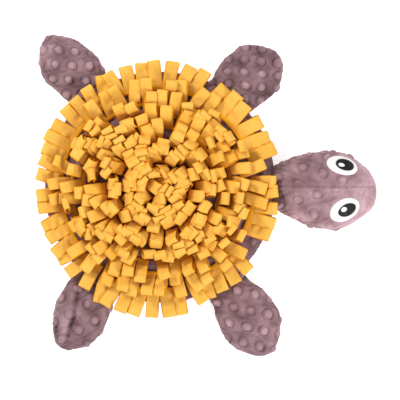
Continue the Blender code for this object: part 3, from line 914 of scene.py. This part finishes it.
def unrolled(points, bearing_deg):
    """Plan positions, with those on a limb's sides moved out to where they lie on flat fabric."""
    bearing = math.radians(bearing_deg)
    ahead = np.array((math.cos(bearing), math.sin(bearing)))
    leftward = np.array((-math.sin(bearing), math.cos(bearing)))
    along = points[:, :2] @ ahead
    side = points[:, :2] @ leftward
    slot = np.floor((along - along.min()) / SLICE).astype(int)
    crest, left, right = (np.full(slot.max() + 1, start) for start in (0.0, -1.0, 1.0))
    np.maximum.at(crest, slot, points[:, 2])
    np.maximum.at(left, slot, side)
    np.minimum.at(right, slot, side)
    across = side - ((left + right) / 2)[slot]
    drop = np.maximum(0, crest[slot] - points[:, 2])
    extra = np.sqrt(across ** 2 + ARCH * drop ** 2) - np.abs(across)
    return points[:, :2] + leftward * (np.sign(across) * extra)[:, None]


# Fades are given by where they start, or end, and how wide they are.
BELLY_FADE = (0.002, 0.004)  # the relief, in height
UNDER_FADE = (-0.55, 0.5)  # the same, in the upward part of the normal
SIDE_FADE = (0.2, 0.6)  # from upright to flat fabric
SIDE_RELIEF = 0.2  # share of the relief that is left where the fabric stands upright
HEAD_SIDE_RELIEF = 0.75
# Painted light and shade on the pile: its tone rises with the relief on the dots' tops and falls in the
# troughs.
MEAN_TONE = 0.42
PAINTED_SHADING_CONTRAST = 0.34
TONE_RELIEF = 0.0042  # relief at which the painted light on the pile is palest
MOTTLING = (75, 0.32, 41)  # scale, depth and seed of the tone of stroked patches


def make_plush(node, voxel, rounds, relief, added_tone, side_relief=SIDE_RELIEF, reshape=None):
    """A plush piece: the fine copy of a solid, with each point moved out by the relief.

    The pile is painted paler where it stands proud and darker in the troughs, as painted light and shade,
    and added_tone adds to that.
    """
    piece = fine_copy(node, voxel, rounds)
    mesh = piece.data
    if reshape:
        write_points(mesh, reshape(read_vectors(mesh, "co")))
    points, normals = read_vectors(mesh, "co"), read_vectors(mesh, "normal")
    share = fade(points[:, 2], *BELLY_FADE) * fade(normals[:, 2], *UNDER_FADE)
    share *= side_relief + (1 - side_relief) * fade(normals[:, 2], *SIDE_FADE)
    height = relief(points)
    # painted light on proud relief and painted shade in the troughs, plus added_tone
    tone = MEAN_TONE + PAINTED_SHADING_CONTRAST * np.clip(height / TONE_RELIEF, -1, 1) + added_tone(points)
    write_points(mesh, points + normals * (height * share)[:, None])
    set_tone(mesh, tone + ripple(points, *MOTTLING))
    mesh.shade_smooth()
    mesh.materials.clear()
    mesh.materials.append(PLUSH)
    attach(piece, "root")
    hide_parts(node)
    return piece


# ------------ shell
SHELL_DOTS = Dots(0.0799, 0.0721, 0.0198, -69.0, 0.0200, 21.0, 0.0025)
SHELL_RIPPLES = ((60, 0.0008), (140, 0.0004))
SHELL_SEED = 1
SHELL_VOXEL = 0.0020
SHELL_ROUNDS = 12
NECK_BEARING_DEG = 3  # here the fabric is drawn into folds and has no dots
NECK_HALF_DEG = 17
NECK_REACH = 1.5
NECK_FOLDS = (0.1180, 0.1275)  # distances from the shell's axis
NECK_FOLD = (0.0026, 0.0016)  # depth and half width


def round_off(points):
    """Moves the flat sides of the shell's solid out to the circle through its corners."""
    bearing = np.arctan2(points[:, 1], points[:, 0])
    side = 2 * math.pi / SHELL_SIDES
    off = bearing - (np.floor(bearing / side) + 0.5) * side
    points[:, :2] *= (np.cos(off) / math.cos(side / 2))[:, None]
    return points


def shell_relief(points):
    radius = np.hypot(points[:, 0], points[:, 1])
    down_the_side = np.maximum(0, SHOULDER_HEIGHT - points[:, 2])
    laid_out = points[:, :2] * (1 + down_the_side / np.maximum(radius, 0.001))[:, None]
    beside = np.abs(np.degrees(np.arctan2(points[:, 1], points[:, 0])) - NECK_BEARING_DEG)
    near_neck = smooth(NECK_REACH - NECK_REACH * beside / NECK_HALF_DEG)
    folds = sum(bell(radius - fold, *NECK_FOLD) for fold in NECK_FOLDS)
    height = dot_relief(laid_out, SHELL_DOTS) * (1 - near_neck) - folds * near_neck
    return rippled(height, points, SHELL_RIPPLES, SHELL_SEED)


# ------------ flippers
Limb = namedtuple("Limb", "node bearing_deg tone dots")
# tone is added to the pile's tone.
LIMBS = (
    Limb("flipper_front_left", 52, -0.09, Dots(0.1, 0.1352, 0.0201, -5.7, 0.0156, -88.7, 0.0048)),
    Limb("flipper_front_right", 303.5, 0.03, Dots(0.107, -0.1458, 0.0208, -12, 0.0198, -104.4, 0.0052)),
    Limb("flipper_rear_left", 126.5, 0.03, Dots(-0.1035, 0.1435, 0.0197, -2.4, 0.0176, -102.7, 0.0048)),
    Limb("flipper_rear_right", 237.5, -0.03, Dots(-0.0964, -0.1682, 0.0226, 27.9, 0.0216, -60.6, 0.0048)),
)
LIMB_RIPPLES = ((55, 0.0014), (130, 0.0008))
FIRST_LIMB_SEED = 2
LIMB_VOXEL = 0.0013
LIMB_ROUNDS = 25

# A fold runs down one flipper: a crease with the outer side raised beside it.
FOLDED_LIMB = "flipper_rear_right"
FOLD = ((-0.0964, -0.1200), (-0.1023, -0.1494), (-0.1129, -0.1882))
FOLD_CREASE = (0.0026, 0.0022)  # depth and half width
FOLD_ROLL = (0.0034, 0.0055)  # height and half width
ROLL_OFFSET = 0.0060
FOLD_ROOT = 0.012  # it fades out over this beyond its root, and over FOLD_TIP before its tip
FOLD_TIP = 0.020


def fold_relief(points):
    x, y = np.array(FOLD).T
    beside = points[:, 0] - np.interp(-points[:, 1], -y, x)
    inside = (fade(points[:, 1], y[-1], FOLD_TIP)
              * fade_before(points[:, 1], y[0] + FOLD_ROOT, FOLD_ROOT))
    return (bell(beside + ROLL_OFFSET, *FOLD_ROLL) - bell(beside, *FOLD_CREASE)) * inside


def make_flipper(limb, seed):
    def relief(points):
        height = dot_relief(unrolled(points, limb.bearing_deg), limb.dots)
        height = rippled(height, points, LIMB_RIPPLES, seed)
        return height + fold_relief(points) if limb.node == FOLDED_LIMB else height

    make_plush(limb.node, LIMB_VOXEL, LIMB_ROUNDS, relief, lambda points: limb.tone)


# ------------ head
Oval = namedtuple("Oval", "x y long_half short_half turn_deg")
Eye = namedtuple("Eye", "side white pupil glint")
EYES = (
    Eye("left", Oval(0.2127, 0.0246, 0.0185, 0.0104, -15), Oval(0.2156, 0.0250, 0.0107, 0.0064, -15),
        Oval(0.2115, 0.0248, 0.0036, 0.0022, -15)),
    Eye("right", Oval(0.2154, -0.0266, 0.0185, 0.0125, 27), Oval(0.2178, -0.0263, 0.0112, 0.0069, 27),
        Oval(0.2137, -0.0256, 0.0036, 0.0027, 20)),
)
HEAD_LEFT_DOTS = Dots(0.1682, 0.0247, 0.0238, -20.0, 0.0220, 72.0, 0.0034)
HEAD_RIGHT_DOTS = Dots(0.1835, -0.0082, 0.0236, 19.0, 0.0250, -97.8, 0.0034)
HEAD_RIPPLES = ((50, 0.0013), (120, 0.0006))
HEAD_SEED = 9
HEAD_ROUNDS = 50
NOSE_DOTS = (0.244, 0.018)  # the dots end here, and fade out over that before it
EYE_FADE = (0.95, 0.35)  # no dots near the eye whites, in sizes of the oval
SEAM_FADE = (0.002, 0.004)  # nor near the seam

# The seam along the crown: a groove, with the fabric drawn in beside it at every stitch.
SEAM_Y = 0.0006
GROOVE = (0.0013, 0.0013)  # depth and half width
TUCK_DEPTH = 0.0004
TUCK_WIDTH = 0.0060
PUCKER = 0.6  # how much the tucks differ in depth
PUCKER_PITCH = 0.009

# Painted light: the head's pile is painted paler than elsewhere, more so towards the nose and the right.
HEAD_PAINTED_LIGHT = 0.11
NOSE_PAINTED_LIGHT = 0.42
NOSE_LIGHT_FADE = (0.185, 0.060)
RIGHT_PAINTED_LIGHT = 0.18
RIGHT_LIGHT_FADE = (0.010, 0.045)


def from_oval(points, oval):
    """Distance from an oval's middle, as a share of its size in that direction."""
    turn = math.radians(oval.turn_deg)
    x, y = points[:, 0] - oval.x, points[:, 1] - oval.y
    along = x * math.cos(turn) + y * math.sin(turn)
    across = y * math.cos(turn) - x * math.sin(turn)
    return np.hypot(along / oval.long_half, across / oval.short_half)


def head_relief(points):
    places = unrolled(points, 0.0)
    beside = points[:, 1] - SEAM_Y
    dots = np.where(beside > 0, dot_relief(places, HEAD_LEFT_DOTS), dot_relief(places, HEAD_RIGHT_DOTS))
    dots *= fade(np.abs(beside), *SEAM_FADE)
    dots *= fade_before(points[:, 0], *NOSE_DOTS)
    for eye in EYES:
        dots *= fade(from_oval(points, eye.white), *EYE_FADE)
    pucker = 1 + PUCKER * np.sin(points[:, 0] * 2 * math.pi / PUCKER_PITCH)
    seam = dots - bell(beside, *GROOVE) - bell(beside, TUCK_DEPTH * pucker, TUCK_WIDTH)
    return rippled(seam, points, HEAD_RIPPLES, HEAD_SEED)


def head_painted_light(points):
    return (HEAD_PAINTED_LIGHT + NOSE_PAINTED_LIGHT * fade(points[:, 0], *NOSE_LIGHT_FADE)
            + RIGHT_PAINTED_LIGHT * fade_before(points[:, 1], *RIGHT_LIGHT_FADE))


# ------------ eyes
WHITE_LIFT = 0.0002
WHITE_THICKNESS = 0.0013
PUPIL_THICKNESS = 0.0008
GLINT_THICKNESS = 0.0006
PATCH_UNDER = 0.0004  # how far a patch reaches into what it lies on
PATCH_RINGS = 12
PATCH_SPOKES = 96
RIM_THICKNESS = 0.35  # share of the thickness that the rim has
RIM_POWER = 8  # how close to the rim a patch begins to round off
PUPIL_STITCHES = 0.02  # how far the stitches make the pupil's rim jagged


def make_patch(name, oval, lift, thickness, head_tree, material, jagged=0.0):
    """An oval patch that follows the head: a domed grid of rings, closed below."""
    turn = math.radians(oval.turn_deg)
    tops, lows = [], []

    def add(x, y, height):
        hit, normal = look_down(head_tree, x, y)
        tops.append(hit + normal * (lift + height))
        lows.append(hit + normal * (lift - PATCH_UNDER))

    add(oval.x, oval.y, thickness)
    for ring in range(1, PATCH_RINGS + 1):
        share = ring / PATCH_RINGS
        dome = RIM_THICKNESS + (1 - RIM_THICKNESS) * math.sqrt(max(0.0, 1 - share ** RIM_POWER))
        for spoke in range(PATCH_SPOKES):
            angle = 2 * math.pi * spoke / PATCH_SPOKES
            reach = share
            if ring >= PATCH_RINGS - 1:
                reach *= 1 + jagged * (1 if spoke % 4 < 2 else -1)
            x, y = turned(oval.long_half * math.cos(angle), oval.short_half * math.sin(angle), turn)
            add(oval.x + reach * x, oval.y + reach * y, thickness * dome)
    low = len(tops)
    rim = 1 + (PATCH_RINGS - 1) * PATCH_SPOKES
    faces = []
    for spoke in range(PATCH_SPOKES):
        after = (spoke + 1) % PATCH_SPOKES
        faces.append((0, 1 + spoke, 1 + after))
        faces.append((low, low + 1 + after, low + 1 + spoke))
        for start in range(1, rim, PATCH_SPOKES):
            a, b = start + spoke, start + after
            faces.append((a, a + PATCH_SPOKES, b + PATCH_SPOKES, b))
            faces.append((low + a, low + b, low + b + PATCH_SPOKES, low + a + PATCH_SPOKES))
        faces.append((rim + spoke, low + rim + spoke, low + rim + after, rim + after))
    patch = make_object(name, tops + lows, faces, material)
    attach(patch, "root")
    return patch


def make_eyes(head):
    tree = BVHTree.FromPolygons([vertex.co for vertex in head.data.vertices],
                                [face.vertices for face in head.data.polygons])
    for side, white, pupil, glint in EYES:
        patch = make_patch("eye_felt_" + side, white, WHITE_LIFT, WHITE_THICKNESS, tree, WHITE)
        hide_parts("eye_white_" + side)
        patch = make_patch("pupil_stitching_" + side, pupil, WHITE_THICKNESS, PUPIL_THICKNESS, tree,
                           BLACK, PUPIL_STITCHES)
        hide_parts("pupil_" + side)
        patch = make_patch("glint_stitching_" + side, glint, WHITE_THICKNESS + PUPIL_THICKNESS,
                           GLINT_THICKNESS, tree, WHITE)


# ------------ studio
AIM = Vector((0.0470, -0.0153, 0.0300))
CAMERA_UP = 2.0
LENS = 153.0
SENSOR_WIDTH = 36
LAMPS = {"key": ((-0.70, 0.70, 0.90), 0.35, 9.8), "fill": ((0.75, -0.75, 0.85), 0.45, 9)}
SKY = 0.71
FLOOR_HALF = 6.0
FLOOR_DROP = 0.0002  # below the part
FLOOR_GREY = 0.92
FLOOR_GLOW = 0.55


def make_studio():
    scene = bpy.context.scene
    camera = new_object("camera", bpy.data.cameras.new("camera"))
    camera.data.lens = LENS
    camera.data.sensor_width = SENSOR_WIDTH
    camera.location = AIM + Vector((0, 0, CAMERA_UP))
    scene.camera = camera
    scene.view_settings.view_transform = "Standard"
    scene.world = bpy.data.worlds.new("studio")
    scene.world.use_nodes = True
    set_inputs(scene.world.node_tree.nodes["Background"], {"Color": (1, 1, 1, 1), "Strength": SKY})
    for name, (place, size, power) in LAMPS.items():
        light = bpy.data.lights.new(name, "AREA")
        light.shape = "DISK"
        light.size = size
        light.energy = power
        lamp = new_object(name, light)
        lamp.location = place
        lamp.rotation_euler = (AIM - Vector(place)).to_track_quat("-Z", "Y").to_euler()
    paper = new_material("floor", grey(FLOOR_GREY), roughness=0.9)
    set_inputs(paper.node_tree.nodes["Principled BSDF"],
               {"Emission Color": (1, 1, 1, 1), "Emission Strength": FLOOR_GLOW})
    corners = [(FLOOR_HALF * x, FLOOR_HALF * y, 0) for x, y in ((-1, -1), (1, -1), (1, 1), (-1, 1))]
    floor = make_object("floor", corners, [(0, 1, 2, 3)], paper)
    floor.location.z = -FLOOR_DROP


FELT_CLOTH = felt_material()
PLUSH = plush_material()
WHITE = white_material()
BLACK = black_material()

make_studio()
make_plush("shell", SHELL_VOXEL, SHELL_ROUNDS, shell_relief, lambda points: 0.0, reshape=round_off)
for seed, limb in enumerate(LIMBS, start=FIRST_LIMB_SEED):
    make_flipper(limb, seed)
make_eyes(make_plush("head", LIMB_VOXEL, HEAD_ROUNDS, head_relief, head_painted_light, HEAD_SIDE_RELIEF))
make_felt(FELT_CLOTH)
